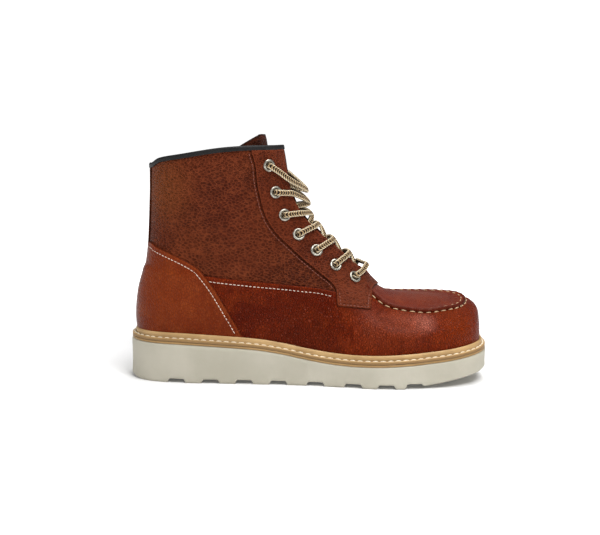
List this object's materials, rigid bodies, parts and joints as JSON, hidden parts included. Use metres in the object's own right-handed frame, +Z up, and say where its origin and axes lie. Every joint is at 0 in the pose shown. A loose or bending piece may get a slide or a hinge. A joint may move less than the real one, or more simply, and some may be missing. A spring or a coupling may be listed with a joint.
{
  "type": "leather boot",
  "caption": "Right ankle boot in leather with a moc toe, laced front with metal eyelets, heel counter, storm welt and a wedge sole with cross grooves.",
  "frame": {"origin": "middle of the bounding box, on the floor under the sole", "axes": "+X from heel to toe, +Y to the inner side of the right foot, +Z up"},
  "size_m": [0.3114, 0.109, 0.2114],
  "materials": {
    "outsole_rubber": "matte warm off-white foam rubber, fine skin with a few specks",
    "welt_tan": "natural tan leather strip with a waxed edge and cream stitching",
    "lining_black": "matte black lining",
    "leather_pebbled": "pull-up leather with a pebbled grain, dark brown, soft sheen",
    "leather_russet": "smooth russet leather with fine grain and a waxed sheen",
    "binding_black": "black folded binding, semi-matte",
    "eyelet_metal": "antique silver, worn at the rim",
    "lace_cord": "flat braided cord, beige with a dark brown centre stripe"
  },
  "bodies": {
    "root": {"outsole": "outsole_rubber", "midsole": "welt_tan", "welt": "welt_tan", "insole": "lining_black", "upper": "leather_pebbled", "counter": "leather_russet", "backstay": "leather_pebbled", "facing": "leather_pebbled", "apron": "leather_russet", "collar_binding": "binding_black", "tongue": "leather_pebbled", "eyelet_outer_1": "eyelet_metal", "eyelet_inner_1": "eyelet_metal", "eyelet_outer_2": "eyelet_metal", "eyelet_inner_2": "eyelet_metal", "eyelet_outer_3": "eyelet_metal", "eyelet_inner_3": "eyelet_metal", "eyelet_outer_4": "eyelet_metal", "eyelet_inner_4": "eyelet_metal", "eyelet_outer_5": "eyelet_metal", "eyelet_inner_5": "eyelet_metal", "eyelet_outer_6": "eyelet_metal", "eyelet_inner_6": "eyelet_metal", "eyelet_outer_7": "eyelet_metal", "eyelet_inner_7": "eyelet_metal", "lace_crossing_1": "lace_cord", "lace_crossing_2": "lace_cord", "lace_crossing_3": "lace_cord", "lace_crossing_4": "lace_cord", "lace_crossing_5": "lace_cord", "lace_crossing_6": "lace_cord", "lace_bar": "lace_cord"}
  },
  "joints": []
}
